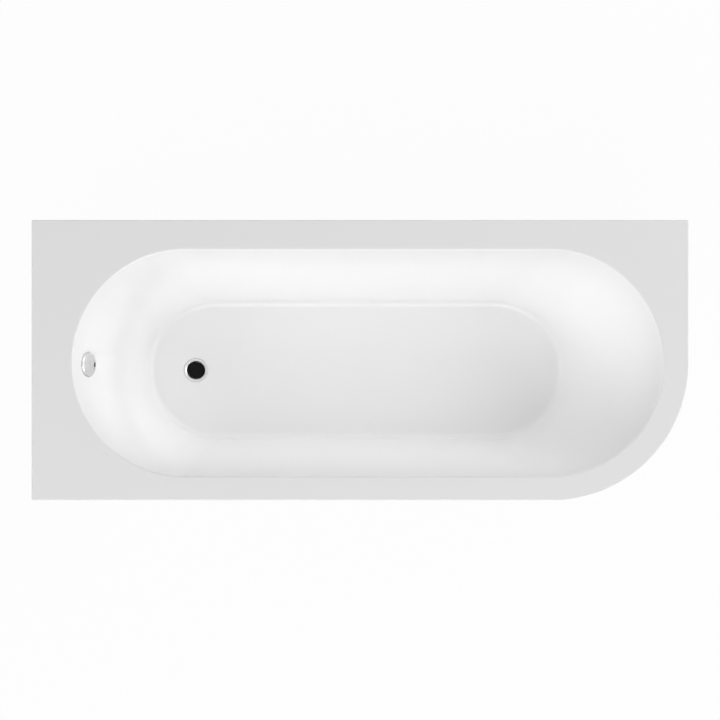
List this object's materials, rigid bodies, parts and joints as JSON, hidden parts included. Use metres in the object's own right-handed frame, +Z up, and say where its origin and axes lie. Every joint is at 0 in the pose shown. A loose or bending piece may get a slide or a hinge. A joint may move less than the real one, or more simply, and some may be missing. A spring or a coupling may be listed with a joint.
{
  "type": "bathtub",
  "caption": "White back-to-wall bathtub with a rounded front corner, wrap-round apron panel, levelling feet, press-to-open waste and an overflow.",
  "frame": {"origin": "on the floor under the middle of the rim's outline", "axes": "+X along the bath from the overflow end to the back-rest end, +Y towards the wall behind it, +Z up"},
  "size_m": [1.7, 0.725, 0.56],
  "materials": {
    "acrylic": "gloss white sanitary acrylic",
    "fibre_coat": "sprayed glass fibre in resin",
    "chipboard": "raw chipboard",
    "timber": "sawn softwood",
    "galvanised": "galvanised sheet",
    "zinc": "zinc plated",
    "pad_plastic": "moulded",
    "clip_plastic": "moulded",
    "chrome": "polished",
    "plug_black": "fine satin",
    "rubber": "matt",
    "brass": "turned",
    "fitting_black": "moulded",
    "pipe_white": "extruded"
  },
  "bodies": {
    "bath": {"apron_panel": "acrylic", "base_board": "chipboard", "board_screws": "zinc", "bracket_bolts": "zinc", "bracket_nuts": "zinc", "bracket_screws": "zinc", "centre_foot_plate": "galvanised", "clip_screws": "zinc", "cradle_left": "galvanised", "cradle_right": "galvanised", "lock_nuts": "zinc", "overflow_bush": "fitting_black", "overflow_cover": "chrome", "overflow_elbow": "fitting_black", "overflow_pipe": "pipe_white", "overflow_seal": "rubber", "panel_batten_end": "timber", "panel_batten_front": "timber", "panel_brackets": "galvanised", "panel_clips": "clip_plastic", "pipe_nuts": "pipe_white", "pipe_seals": "rubber", "plug_cartridge": "brass", "rim_batten_back": "timber", "rim_batten_front": "timber", "rim_batten_left": "timber", "rim_batten_right": "timber", "tub_backing": "fibre_coat", "tub_shell": "acrylic", "wall_brackets": "galvanised", "waste_back_nut": "fitting_black", "waste_banjo": "fitting_black", "waste_bottom_seal": "rubber", "waste_flange": "chrome", "waste_lower_seal": "rubber", "waste_top_seal": "rubber"},
    "plug": {"plug_cap": "plug_black", "plug_seal": "rubber", "plug_plunger": "brass"},
    "foot_front_left": {"foot_pad_front_left": "pad_plastic"},
    "stud_front_left": {"foot_stud_front_left": "zinc"},
    "foot_front_right": {"foot_pad_front_right": "pad_plastic"},
    "stud_front_right": {"foot_stud_front_right": "zinc"},
    "foot_back_left": {"foot_pad_back_left": "pad_plastic"},
    "stud_back_left": {"foot_stud_back_left": "zinc"},
    "foot_back_right": {"foot_pad_back_right": "pad_plastic"},
    "stud_back_right": {"foot_stud_back_right": "zinc"},
    "foot_centre": {"foot_pad_centre": "pad_plastic"},
    "stud_centre": {"foot_stud_centre": "zinc"}
  },
  "joints": [
    {"name": "plug_lift", "type": "slide", "parent": "bath", "child": "plug", "axis": [0, 0, 1], "range_m": [0, 0.012]},
    {"name": "level_front_left", "type": "slide", "parent": "bath", "child": "foot_front_left", "axis": [0, 0, 1], "range_m": [-0.02, 0.01]},
    {"name": "stud_turn_front_left", "type": "hinge", "parent": "foot_front_left", "child": "stud_front_left", "pos_m": [-0.318, -0.2355, 0], "axis": [0, 0, 1], "range_deg": [-4801, 2401]},
    {"name": "level_front_right", "type": "slide", "parent": "bath", "child": "foot_front_right", "axis": [0, 0, 1], "range_m": [-0.02, 0.01]},
    {"name": "stud_turn_front_right", "type": "hinge", "parent": "foot_front_right", "child": "stud_front_right", "pos_m": [0.293, -0.2355, 0], "axis": [0, 0, 1], "range_deg": [-4801, 2401]},
    {"name": "level_back_left", "type": "slide", "parent": "bath", "child": "foot_back_left", "axis": [0, 0, 1], "range_m": [-0.02, 0.01]},
    {"name": "stud_turn_back_left", "type": "hinge", "parent": "foot_back_left", "child": "stud_back_left", "pos_m": [-0.318, 0.2205, 0], "axis": [0, 0, 1], "range_deg": [-4801, 2401]},
    {"name": "level_back_right", "type": "slide", "parent": "bath", "child": "foot_back_right", "axis": [0, 0, 1], "range_m": [-0.02, 0.01]},
    {"name": "stud_turn_back_right", "type": "hinge", "parent": "foot_back_right", "child": "stud_back_right", "pos_m": [0.293, 0.2205, 0], "axis": [0, 0, 1], "range_deg": [-4801, 2401]},
    {"name": "level_centre", "type": "slide", "parent": "bath", "child": "foot_centre", "axis": [0, 0, 1], "range_m": [-0.02, 0.01]},
    {"name": "stud_turn_centre", "type": "hinge", "parent": "foot_centre", "child": "stud_centre", "pos_m": [-0.0125, -0.0075, 0], "axis": [0, 0, 1], "range_deg": [-4801, 2401]}
  ],
  "couplings": [
    {"joint": "stud_turn_front_left", "follows": "level_front_left", "rad_per_m": 4188.8},
    {"joint": "stud_turn_front_right", "follows": "level_front_right", "rad_per_m": 4188.8},
    {"joint": "stud_turn_back_left", "follows": "level_back_left", "rad_per_m": 4188.8},
    {"joint": "stud_turn_back_right", "follows": "level_back_right", "rad_per_m": 4188.8},
    {"joint": "stud_turn_centre", "follows": "level_centre", "rad_per_m": 4188.8}
  ]
}
